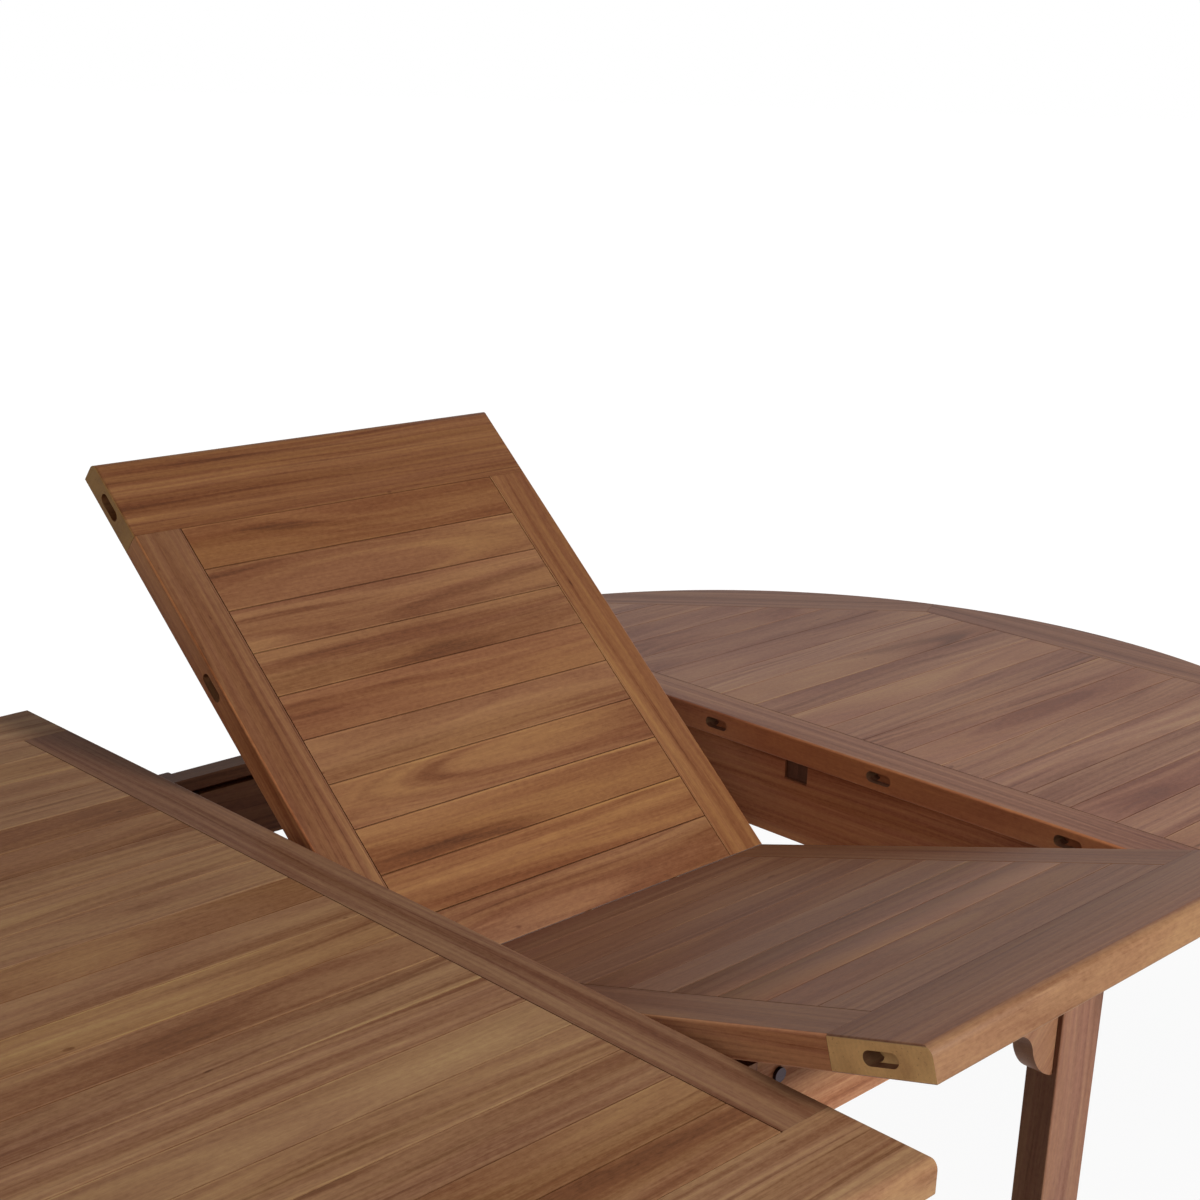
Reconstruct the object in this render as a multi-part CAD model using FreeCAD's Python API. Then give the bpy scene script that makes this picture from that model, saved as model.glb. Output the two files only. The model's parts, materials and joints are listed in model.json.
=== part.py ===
import FreeCAD, Part
import math
import os

# Extending round table with a folding leaf, half unfolded.
# Millimetres, +Z up, +X along the extension, +Y away from the side where the leaf is hung.
# Shapes are drawn with the leaf's middle at x = 0 and its hinge line at y = 0, then moved
# along X so that the origin is under the middle of the whole table.

# Main sizes
table_height = 750.0
top_diameter = 1200.0
top_thickness = 28.0
leaf_length = 497.0
rim_width = 91.0
rail_width = 50.0
slats_per_leaf = 10
slat_gap = 1.0
leaf_inset = 1.5
glue_line = 0.2
edge_round = 9.0
arris_round = 2.5

# How the table stands open: the gap at each end of the leaf, now and at the widest
left_gap = 15.5
right_gap = 45.5
widest_gap = 51.5
leaf_tilt = 17.0
fold_per_tilt = 3.42

# Tongue and groove round each field of slats
tongue_thickness = 8.0
tongue_length = 8.0
tongue_clearance = 0.3
groove_stop = 8.0

# Splines across the rim joints
spline_length = 30.0
spline_width = 24.0
spline_thickness = 6.0
spline_clearance = 0.1

# Alignment tongues and the slots that take them
slot_place_shares = (0.187, 0.562, 0.922)
slot_length = 31.0
slot_height = 11.5
slot_depth = 9.0
slot_drill_depth = 18.0
key_length = 27.0
key_height = 10.5
key_sunk = 12.0
key_proud = 6.0

# Fixed frame
frame_inset = 198.0
leaf_to_end_apron = 50.5
groove_end_wood = 20.0
apron_height = 85.0
end_apron_height = 90.0
apron_setback = 6.0
side_apron_thickness = 24.0
end_apron_thickness = 25.0
end_tenon_length = 10.0
end_tenon_shoulder = 14.0
sliding_clearance = 0.3
leg_width = 67.0
leg_depth = 34.0
leg_cheek = 14.0
leg_to_end_apron = 17.0
leg_arris = 2.0
glide_height = 4.0
glide_radius = 13.0
glide_stem_radius = 3.0
glide_stem_length = 16.0

# Corner brackets under the side aprons
bracket_length = 65.0
bracket_height = 92.0
bracket_thickness = 22.0
bracket_screw_drop = 54.0
bracket_screw_reach = 14.0
bracket_screw_depth = 3.0
bracket_screw_slant = 30.0
nose_screw_inset = 8.0
nose_screw_drop = 13.0
# Its outline from the toe to the nose, in shares of length and height: a belly, then a cove
belly_shares = ((0.045, 1.0), (0.34, 0.865), (0.56, 0.63))
cove_shares = ((0.56, 0.63), (0.66, 0.47), (0.89, 0.35))
nose_share = 0.26

# Guide groove in the side aprons, and the runners under the half tops that follow it
groove_drop = 17.0
groove_height = 6.0
groove_depth = 8.0
guide_start = 6.0
guide_length = 99.0
guide_housing = 4.0
guide_end_clearance = 1.0
runner_side_clearance = 0.5
side_runner_width = 24.0
side_runner_height = 22.0
centre_runner_width = 28.0
centre_runner_height = 22.0
centre_runner_setback = 8.0
runner_tail_inset = 169.0
notch_clearance = 1.0

# Battens under the half tops
batten_width = 40.0
batten_thickness = 20.0
batten_tail_gap = 5.0
outer_batten_inset = 84.0
batten_to_apron = 22.0
batten_edge_margin = 40.0

# Battens under the leaf
leaf_batten_width = 20.0
leaf_batten_height = 28.0
leaf_batten_inset = 98.5
leaf_batten_start = 40.0
batten_end_round = 11.0

# Pivot of the near leaf
pivot_to_apron = 12.0
pivot_depth = 44.0
pin_radius = 4.0
pin_fit = 0.05
bush_wall = 2.0
plate_thickness = 3.0
plate_length = 40.0
plate_height = 40.0
plate_top_depth = 34.0
lug_radius = 9.0
lug_gap = 1.5
pin_head_radius = 6.0
pin_head_thickness = 2.5
pivot_bolt_inset = 17.0
pivot_bolt_depth = 53.0

# Concealed hinges between the two leaf panels
hinge_gap = 1.0
hinge_rise = 0.15
hinge_places = (-120.0, 0.0, 120.0)
link_inner_radius = 7.0
link_outer_radius = 10.0
link_width = 4.0
link_spacing = 4.2
link_sweep = 150.0
link_clearance = 0.3
barrel_radius = 7.5
barrel_depth = 9.5
barrel_length = 15.0

# Fasteners
screw_radius = 2.0
screw_head_radius = 4.0
screw_head_height = 2.0
screw_bite = 16.0
screw_edge_share = 0.1
bolt_radius = 3.0
bolt_head_radius = 7.0
bolt_head_height = 4.0
insert_radius = 5.5
insert_length = 10.0
bolt_along_shares = (0.3, 0.7)
bolt_rise_shares = (0.2, 0.55)
small_bolt_radius = 3.0
small_head_radius = 6.0
small_head_height = 3.0
small_nut_radius = 5.5
small_nut_height = 5.0

# Cutting tools run past the wood by this much
overrun = 5.0

# Sizes that follow
radius = top_diameter / 2.0
apothem = radius - rim_width
top_under = table_height - top_thickness
middle_z = table_height - top_thickness / 2.0
apron_top = top_under - sliding_clearance
apron_bottom = apron_top - apron_height
half_length = leaf_length / 2.0
left_opening = half_length + left_gap
right_opening = half_length + right_gap
widest_opening = half_length + widest_gap
slot_places = tuple(share * radius for share in slot_place_shares)
leg_outer_y = radius - frame_inset
apron_outer_y = leg_outer_y - apron_setback
apron_inner_y = apron_outer_y - side_apron_thickness
cheek_y = leg_outer_y - leg_cheek
end_inner_x = half_length + leaf_to_end_apron
end_outer_x = end_inner_x + end_apron_thickness
leg_outer_x = end_inner_x - leg_to_end_apron
leg_inner_x = leg_outer_x - leg_width
leaf_batten_place = half_length - leaf_batten_inset
panel_start = hinge_gap / 2.0
panel_end = radius - leaf_inset
panel_rim_start = panel_end - rim_width
stile_start = half_length - rail_width
slat_pitch = (panel_rim_start - panel_start) / slats_per_leaf
top_slat_count = 2 * slats_per_leaf
top_slat_pitch = 2.0 * apothem / top_slat_count
groove_middle = top_under - groove_drop
guide_thickness = groove_height - 2.0 * sliding_clearance
groove_reach_x = widest_opening + guide_start + guide_length
frame_reach = groove_reach_x + groove_end_wood
runner_tail = apothem - runner_tail_inset
batten_half = apron_inner_y - batten_to_apron
side_runner_outer = apron_inner_y - runner_side_clearance
side_runner_inner = side_runner_outer - side_runner_width
pivot_reach = apron_inner_y - pivot_to_apron
pivot_y = -pivot_reach
pivot_z = table_height - pivot_depth
leaf_fold = leaf_tilt * fold_per_tilt
origin_shift = (left_opening - right_opening) / 2.0
octagon_share = math.tan(math.pi / 8.0)
joint_angles = (-67.5, -22.5, 22.5, 67.5)

X_AXIS = FreeCAD.Vector(1, 0, 0)
Y_AXIS = FreeCAD.Vector(0, 1, 0)
Z_AXIS = FreeCAD.Vector(0, 0, 1)
CENTRE = FreeCAD.Vector(0, 0, 0)


def point(x, y, z):
    return FreeCAD.Vector(x, y, z)


def block(x0, x1, y0, y1, z0, z1):
    """A box between two corners given in any order."""
    low = point(min(x0, x1), min(y0, y1), min(z0, z1))
    return Part.makeBox(abs(x1 - x0), abs(y1 - y0), abs(z1 - z0), low)


def rod(radius_, start, end):
    """A round bar from start to end."""
    run = end.sub(start)
    return Part.makeCylinder(radius_, run.Length, start, run)


def prism(points, run):
    """A flat outline of straight sides carried along run."""
    wire = Part.makePolygon(list(points) + [points[0]])
    return Part.Face(wire).extrude(run)


def fuse(shapes):
    return shapes[0].multiFuse(shapes[1:]) if len(shapes) > 1 else shapes[0]


def arris(corner, along_a, along_b, run, size):
    """The waste that rounds one long edge: a square round the corner less a quarter round."""
    a = corner.add(point(*[size * c for c in along_a]))
    b = corner.add(point(*[size * c for c in along_b]))
    heart = a.add(b).sub(corner)
    chord = corner.sub(heart)
    middle = heart.add(chord.normalize().multiply(size))
    past_a = a.sub(point(*[overrun * c for c in along_b]))
    past_b = b.sub(point(*[overrun * c for c in along_a]))
    past_corner = past_a.add(past_b).sub(heart)
    stops = [b, past_b, past_corner, past_a, a]
    edges = [Part.LineSegment(first, last).toShape() for first, last in zip(stops, stops[1:])]
    edges.append(Part.Arc(a, middle, b).toShape())
    return Part.Face(Part.Wire(edges)).extrude(run)


def octagon(size, start, z0, z1):
    """Half an octagon of inner radius size, flat sides out, from u = start outwards."""
    corner = size * octagon_share
    outline = [point(start, -size, z0), point(corner, -size, z0), point(size, -corner, z0)]
    outline += [point(size, corner, z0), point(corner, size, z0), point(start, size, z0)]
    return prism(outline, point(0, 0, z1 - z0))


def obround(y_mid, z_mid, length, height, x0, x1):
    """A flat key with round ends, lying along Y, from x0 to x1."""
    end = height / 2.0
    flat = length / 2.0 - end
    low = min(x0, x1)
    depth = abs(x1 - x0)
    body = block(low, low + depth, y_mid - flat, y_mid + flat, z_mid - end, z_mid + end)
    ends = [Part.makeCylinder(end, depth, point(low, y_mid + s * flat, z_mid), X_AXIS) for s in (-1, 1)]
    return body.fuse(ends).removeSplitter()


def slot_waste(y_mid, face_x, inward):
    """A slot cut in an end face, with its deeper drilled end towards +Y."""
    cuts = obround(y_mid, middle_z, slot_length, slot_height, face_x - inward * overrun,
                   face_x + inward * slot_depth)
    drill_y = y_mid + (slot_length - slot_height) / 2.0
    drill = rod(slot_height / 2.0, point(face_x, drill_y, middle_z),
                point(face_x + inward * slot_drill_depth, drill_y, middle_z))
    return cuts.fuse(drill)


def key(y_mid, face_x, inward):
    """A flat alignment tongue glued into an end face and standing proud of it."""
    return obround(y_mid, middle_z, key_length, key_height, face_x + inward * key_sunk,
                   face_x - inward * key_proud)


def screw(head, tip):
    """A pan head screw: head is the point under the head, tip is its far end."""
    away = head.sub(tip).normalize()
    top = head.add(point(*[screw_head_height * c for c in away]))
    return rod(screw_head_radius, head, top).fuse(rod(screw_radius, head, tip)).removeSplitter()


def screw_hole(head, tip):
    return rod(screw_radius, head, tip)


# Half tops, drawn with u = x outwards from the inner edge
def runner_list():
    """Name, edges along Y, inner end and height of each runner under a half top."""
    half = centre_runner_width / 2.0
    return (("near_runner", -side_runner_outer, -side_runner_inner, guide_start, side_runner_height),
            ("centre_runner", -half, half, centre_runner_setback, centre_runner_height),
            ("far_runner", side_runner_inner, side_runner_outer, guide_start, side_runner_height))


def batten_list():
    """Start along u and half width of each batten under a half top."""
    first = runner_tail + batten_tail_gap
    second = apothem - outer_batten_inset
    room = radius - batten_edge_margin
    end = second + batten_width
    return ((first, batten_half), (second, math.sqrt(room * room - end * end)))


def top_screw_places():
    """Start and end points of every screw under a half top."""
    places = []
    for start, half in batten_list():
        u = start + batten_width / 2.0
        low = top_under - batten_thickness
        count = int(min(half, apothem * math.sqrt(2.0) - u) / top_slat_pitch)
        for i in range(-count, count):
            y = (i + 0.5) * top_slat_pitch
            places.append((point(u, y, low), point(u, y, top_under + screw_bite)))
    for name, y0, y1, start, height in runner_list():
        for share in (screw_edge_share, 0.5, 1.0 - screw_edge_share):
            u = rail_width + slat_gap + share * (runner_tail - rail_width)
            middle = (y0 + y1) / 2.0
            side = top_slat_pitch / 6.0 if name == "centre_runner" else 0.0
            places.append((point(u, middle + side, top_under - height),
                           point(u, middle + side, top_under + screw_bite)))
    return places


def half_top():
    """Every piece of one half top, as a dictionary of lists of solids."""
    z0 = top_under
    z1 = table_height
    tongue_low = middle_z - tongue_thickness / 2.0
    tongue_high = middle_z + tongue_thickness / 2.0
    groove_low = tongue_low - tongue_clearance / 2.0
    groove_high = tongue_high + tongue_clearance / 2.0
    groove_reach = tongue_length + tongue_clearance
    inner_top = arris(point(0, -radius - overrun, z1), (1, 0, 0), (0, 0, -1),
                      point(0, top_diameter + 2.0 * overrun, 0), arris_round)
    inner_low = arris(point(0, -radius - overrun, z0), (1, 0, 0), (0, 0, 1),
                      point(0, top_diameter + 2.0 * overrun, 0), arris_round)
    holes = [screw_hole(a, b) for a, b in top_screw_places()]

    # Rim: a half disc with its upper edge rounded, less the octagon that it frames
    bend_share = 1.0 - math.sqrt(0.5)
    low_heart = point(0, 0, z0)
    top_heart = point(0, 0, z1)
    low_start = point(radius - arris_round, 0, z0)
    low_middle = point(radius - arris_round * bend_share, 0, z0 + arris_round * bend_share)
    low_end = point(radius, 0, z0 + arris_round)
    top_start = point(radius, 0, z1 - edge_round)
    top_middle = point(radius - edge_round * bend_share, 0, z1 - edge_round * bend_share)
    top_end = point(radius - edge_round, 0, z1)
    edges = [Part.LineSegment(low_heart, low_start).toShape()]
    edges.append(Part.Arc(low_start, low_middle, low_end).toShape())
    edges.append(Part.LineSegment(low_end, top_start).toShape())
    edges.append(Part.Arc(top_start, top_middle, top_end).toShape())
    edges.append(Part.LineSegment(top_end, top_heart).toShape())
    edges.append(Part.LineSegment(top_heart, low_heart).toShape())
    profile = Part.Face(Part.Wire(edges))
    profile.rotate(CENTRE, Z_AXIS, -90.0)
    disc = profile.revolve(CENTRE, Z_AXIS, 180.0)
    ring = disc.cut([octagon(apothem, -overrun, z0 - overrun, z1 + overrun),
                     octagon(apothem + groove_reach, groove_stop, groove_low, groove_high)])
    saws = []
    for angle in joint_angles:
        saw = block(0, radius + overrun, -glue_line / 2.0, glue_line / 2.0, z0 - overrun, z1 + overrun)
        saw.rotate(CENTRE, Z_AXIS, angle)
        saws.append(saw)
    corner_radius = apothem / math.cos(math.pi / 8.0)
    spline_mid = (corner_radius + tongue_length + radius) / 2.0
    splines = []
    spline_cuts = []
    for angle in joint_angles:
        for store, extra in ((splines, 0.0), (spline_cuts, spline_clearance)):
            half_w = spline_width / 2.0 + extra
            half_l = spline_length / 2.0 + extra
            half_t = spline_thickness / 2.0 + extra
            piece = block(spline_mid - half_w, spline_mid + half_w, -half_l, half_l,
                          middle_z - half_t, middle_z + half_t)
            piece.rotate(CENTRE, Z_AXIS, angle)
            store.append(piece)
    boards = ring.cut(saws + spline_cuts + [inner_top, inner_low]).Solids
    boards.sort(key=lambda s: math.atan2(s.CenterOfMass.y, s.CenterOfMass.x))

    # Inner rail, with a tongue at each end and a groove for the slats
    rail = block(0, rail_width, -apothem + glue_line, apothem - glue_line, z0, z1)
    for s in (-1, 1):
        tongue = block(groove_stop + tongue_clearance, rail_width, s * (apothem - overrun),
                       s * (apothem + tongue_length), tongue_low, tongue_high)
        rail = rail.fuse(tongue)
    groove = block(rail_width - groove_reach, rail_width + overrun, -apothem, apothem, groove_low, groove_high)
    rail = rail.cut([groove, inner_top, inner_low]).removeSplitter()

    # Slats: strips of the field, each with tongues at its ends
    field = octagon(apothem - slat_gap, rail_width + slat_gap, z0, z1)
    tongues = octagon(apothem + tongue_length, rail_width - tongue_length, tongue_low, tongue_high)
    slats = []
    for i in range(top_slat_count):
        y0 = -apothem + i * top_slat_pitch + slat_gap / 2.0
        y1 = y0 + top_slat_pitch - slat_gap
        strip = block(-overrun, radius, y0, y1, z0 - overrun, z1 + overrun)
        slat = field.common(strip).fuse(tongues.common(strip)).removeSplitter()
        slats.append(slat.cut(holes).Solids[0])

    # Runners, with a hardwood guide tongue let into the outer side of each side runner
    runners = []
    guides = []
    half_guide = guide_thickness / 2.0
    for name, y0, y1, start, height in runner_list():
        bar = block(start, runner_tail, y0, y1, top_under - height, top_under)
        if name != "centre_runner":
            way = 1 if y0 > 0 else -1
            guide = block(guide_start, guide_start + guide_length, way * (side_runner_outer - guide_housing),
                          way * (apron_inner_y + groove_depth - guide_end_clearance),
                          groove_middle - half_guide, groove_middle + half_guide)
            guides.append(guide)
            bar = bar.cut(guide)
        runners.append(bar.cut(holes))

    battens = []
    for start, half in batten_list():
        batten = block(start, start + batten_width, -half, half, top_under - batten_thickness, top_under)
        battens.append(batten.cut(holes))

    pieces = {"inner_rail": [rail], "slats": slats, "rim_splines": splines}
    for name, board in zip(("near_rim", "near_corner_rim", "end_rim", "far_corner_rim", "far_rim"), boards):
        pieces[name] = [board]
    pieces["runners"] = runners
    pieces["guide_tongues"] = guides
    pieces["battens"] = battens
    pieces["screws"] = [screw(a, b) for a, b in top_screw_places()]
    return pieces


def place_half_tops():
    """The right half top, and the left one, which is the same turned half round."""
    right = half_top()
    left = {}
    for name, solids in half_top().items():
        turned = []
        for solid in solids:
            copy = solid.copy()
            copy.rotate(CENTRE, Z_AXIS, 180.0)
            copy.translate(point(-left_opening, 0, 0))
            turned.append(copy)
        swapped = name
        if name.startswith("near_"):
            swapped = "far_" + name[len("near_"):]
        elif name.startswith("far_"):
            swapped = "near_" + name[len("far_"):]
        left[swapped] = turned
    for solids in right.values():
        for solid in solids:
            solid.translate(point(right_opening, 0, 0))
    keyed = [-slot_places[0], -slot_places[2]] + list(slot_places)
    keys = [key(y, -left_opening, -1) for y in keyed]
    sockets = [slot_waste(s * y, right_opening, 1) for y in slot_places for s in (-1, 1)]
    for name in ("inner_rail", "near_rim", "far_rim"):
        left[name] = [left[name][0].cut(keys)]
        right[name] = [right[name][0].cut(sockets)]
    left["alignment_keys"] = keys
    return left, right


# Leaf panels, drawn flat with s = distance from the hinge line
def barrel_at(x, way):
    """One concealed hinge barrel in a panel's hinged edge; way is the panel's direction along Y."""
    z = table_height - barrel_depth
    return rod(barrel_radius, point(x, way * panel_start, z), point(x, way * barrel_length, z))


def arc_band(x, inner, outer, width, sweep):
    """A band bent round the hinge axis and centred straight below it."""
    axis_z = table_height + hinge_rise
    start = point(x - width / 2.0, 0, axis_z)
    angle = 90.0 - sweep / 2.0
    outline = Part.makePolygon([start.add(point(0, inner, 0)), start.add(point(0, outer, 0)),
                                start.add(point(width, outer, 0)), start.add(point(width, inner, 0)),
                                start.add(point(0, inner, 0))])
    face = Part.Face(outline)
    face.rotate(start, X_AXIS, -angle)
    return face.revolve(start, X_AXIS, -sweep)


def link_channels():
    """Room for both links of every hinge, cut in the barrels and the slats that hold them."""
    spread = 2.0 * math.degrees(link_clearance / link_inner_radius)
    width = link_spacing + link_width + 2.0 * link_clearance
    return [arc_band(x, link_inner_radius - link_clearance, link_outer_radius + link_clearance,
                     width, link_sweep + spread) for x in hinge_places]


def hinge_links(way, turn):
    """One link of every hinge, turned about the hinge axis from where it lies when the leaf is flat."""
    axis = point(0, 0, table_height + hinge_rise)
    links = []
    for x in hinge_places:
        link = arc_band(x + way * link_spacing / 2.0, link_inner_radius, link_outer_radius, link_width, link_sweep)
        link.rotate(axis, X_AXIS, turn)
        links.append(link)
    return links


def leaf_screw_places(way, end):
    places = []
    low = top_under - leaf_batten_height
    count = int((end - leaf_batten_start) / slat_pitch)
    for i in range(count + 1):
        s = (i + 1.5) * slat_pitch
        if s > end - leaf_batten_width:
            continue
        for side in (-1, 1):
            x = side * leaf_batten_place
            places.append((point(x, way * s, low), point(x, way * s, top_under + screw_bite)))
    return places


def leaf_panel(way):
    """Every piece of one leaf panel, lying flat; way is -1 for the near panel, 1 for the far one."""
    z0 = top_under
    z1 = table_height
    tongue_low = middle_z - tongue_thickness / 2.0
    tongue_high = middle_z + tongue_thickness / 2.0
    groove_low = tongue_low - tongue_clearance / 2.0
    groove_high = tongue_high + tongue_clearance / 2.0
    groove_reach = tongue_length + tongue_clearance
    batten_end = pivot_reach if way < 0 else batten_half
    screws = leaf_screw_places(way, batten_end)
    holes = [screw_hole(a, b) for a, b in screws]
    channels = link_channels()
    barrels = [barrel_at(x, way) for x in hinge_places]

    # Waste that rounds the end edges and the outer edge
    long_run = point(0, 2.0 * radius, 0)
    wastes = []
    for side in (-1, 1):
        for z, down in ((z1, -1), (z0, 1)):
            corner = point(side * half_length, -radius, z)
            wastes.append(arris(corner, (-side, 0, 0), (0, 0, down), long_run, arris_round))
    end_run = point(leaf_length + 2.0 * overrun, 0, 0)
    for z, down, size in ((z1, -1, edge_round), (z0, 1, arris_round)):
        corner = point(-half_length - overrun, way * panel_end, z)
        wastes.append(arris(corner, (0, -way, 0), (0, 0, down), end_run, size))

    # The groove lies round three sides of the field and stops short of the panel's ends
    inner = stile_start + groove_reach
    reach = half_length - groove_stop
    stile_groove = block(-inner, inner, way * -overrun, way * (panel_rim_start + overrun), groove_low, groove_high)
    rim_groove = block(-reach, reach, way * (panel_rim_start - overrun), way * (panel_rim_start + groove_reach),
                       groove_low, groove_high)
    rim = block(-half_length, half_length, way * panel_rim_start, way * panel_end, z0, z1)
    rim = rim.cut([rim_groove] + wastes)
    stiles = []
    for side in (-1, 1):
        stile = block(side * stile_start, side * half_length, way * panel_start,
                      way * (panel_rim_start - glue_line), z0, z1)
        tenon = block(side * (inner + tongue_clearance), side * (reach - tongue_clearance),
                      way * (panel_rim_start - overrun), way * (panel_rim_start + tongue_length),
                      tongue_low, tongue_high)
        stiles.append(stile.cut([stile_groove] + wastes).fuse(tenon).removeSplitter())

    slats = []
    for i in range(slats_per_leaf):
        first = panel_start if i == 0 else panel_start + i * slat_pitch + slat_gap / 2.0
        last = panel_start + (i + 1) * slat_pitch - slat_gap / 2.0
        edge = stile_start - slat_gap
        slat = block(-edge, edge, way * first, way * last, z0, z1)
        tip = stile_start + tongue_length
        slat = slat.fuse(block(-tip, tip, way * first, way * last, tongue_low, tongue_high))
        if i == slats_per_leaf - 1:
            slat = slat.fuse(block(-edge, edge, way * (last - overrun), way * (panel_rim_start + tongue_length),
                                   tongue_low, tongue_high))
        slat = slat.cut(holes)
        if i == 0:
            slat = slat.cut(barrels + channels)
        slats.append(slat.removeSplitter().Solids[0])

    # Keys stand on the right-hand end, slots are cut in the left-hand one
    key_places = [way * y for y in slot_places]
    if way < 0:
        socket_places = [way * slot_places[0], way * slot_places[2]]
    else:
        socket_places = key_places
    keys = [key(y, half_length, -1) for y in key_places]
    sockets = [slot_waste(y, -half_length, 1) for y in socket_places]
    rim = rim.cut(keys + sockets)
    stiles = [stile.cut(keys + sockets) for stile in stiles]

    battens = []
    for side in (-1, 1):
        x0 = side * leaf_batten_place - leaf_batten_width / 2.0
        x1 = x0 + leaf_batten_width
        batten = block(x0, x1, way * leaf_batten_start, way * batten_end, z0 - leaf_batten_height, z0)
        if way < 0:
            hub = rod(batten_end_round, point(x0, pivot_y, pivot_z), point(x1, pivot_y, pivot_z))
            bore = rod(pin_radius + pin_fit + bush_wall, point(x0 - overrun, pivot_y, pivot_z),
                       point(x1 + overrun, pivot_y, pivot_z))
            batten = batten.fuse(hub).removeSplitter().cut(bore)
        battens.append(batten.cut(holes))

    pieces = {"rim": [rim], "stiles": stiles, "slats": slats, "battens": battens}
    pieces["screws"] = [screw(a, b) for a, b in screws]
    pieces["alignment_keys"] = keys
    pieces["hinge_barrels"] = [barrel.cut(channels) for barrel in barrels]
    if way < 0:
        bushes = []
        for side in (-1, 1):
            x0 = side * leaf_batten_place - leaf_batten_width / 2.0
            x1 = x0 + leaf_batten_width
            outer = rod(pin_radius + pin_fit + bush_wall, point(x0, pivot_y, pivot_z), point(x1, pivot_y, pivot_z))
            inner_bore = rod(pin_radius + pin_fit, point(x0 - overrun, pivot_y, pivot_z),
                             point(x1 + overrun, pivot_y, pivot_z))
            bushes.append(outer.cut(inner_bore))
        pieces["pivot_bushes"] = bushes
    return pieces


def place_leaf():
    """Both panels and the hinge links, turned from flat to the way the leaf stands."""
    axis = point(0, 0, table_height + hinge_rise)
    pivot = point(0, pivot_y, pivot_z)
    near = leaf_panel(-1)
    far = leaf_panel(1)
    links = {"near_hinge_links": hinge_links(-1, leaf_fold / 3.0),
             "far_hinge_links": hinge_links(1, 2.0 * leaf_fold / 3.0)}
    for solids in far.values():
        for solid in solids:
            solid.rotate(axis, X_AXIS, leaf_fold)
    for group in list(near.values()) + list(far.values()) + list(links.values()):
        for solid in group:
            solid.rotate(pivot, X_AXIS, -leaf_tilt)
    return near, far, links


# Fixed frame
def mirrored(shape, across_x, across_y):
    result = shape
    if across_x:
        result = result.mirror(CENTRE, X_AXIS)
    if across_y:
        result = result.mirror(CENTRE, Y_AXIS)
    return result


def leg_bolt_places():
    """Middle x and height of the two bolts that hold the right far leg to its apron."""
    places = []
    for share, rise in zip(bolt_along_shares, bolt_rise_shares):
        places.append((leg_inner_x + share * leg_width, apron_bottom + rise * apron_height))
    return places


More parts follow.
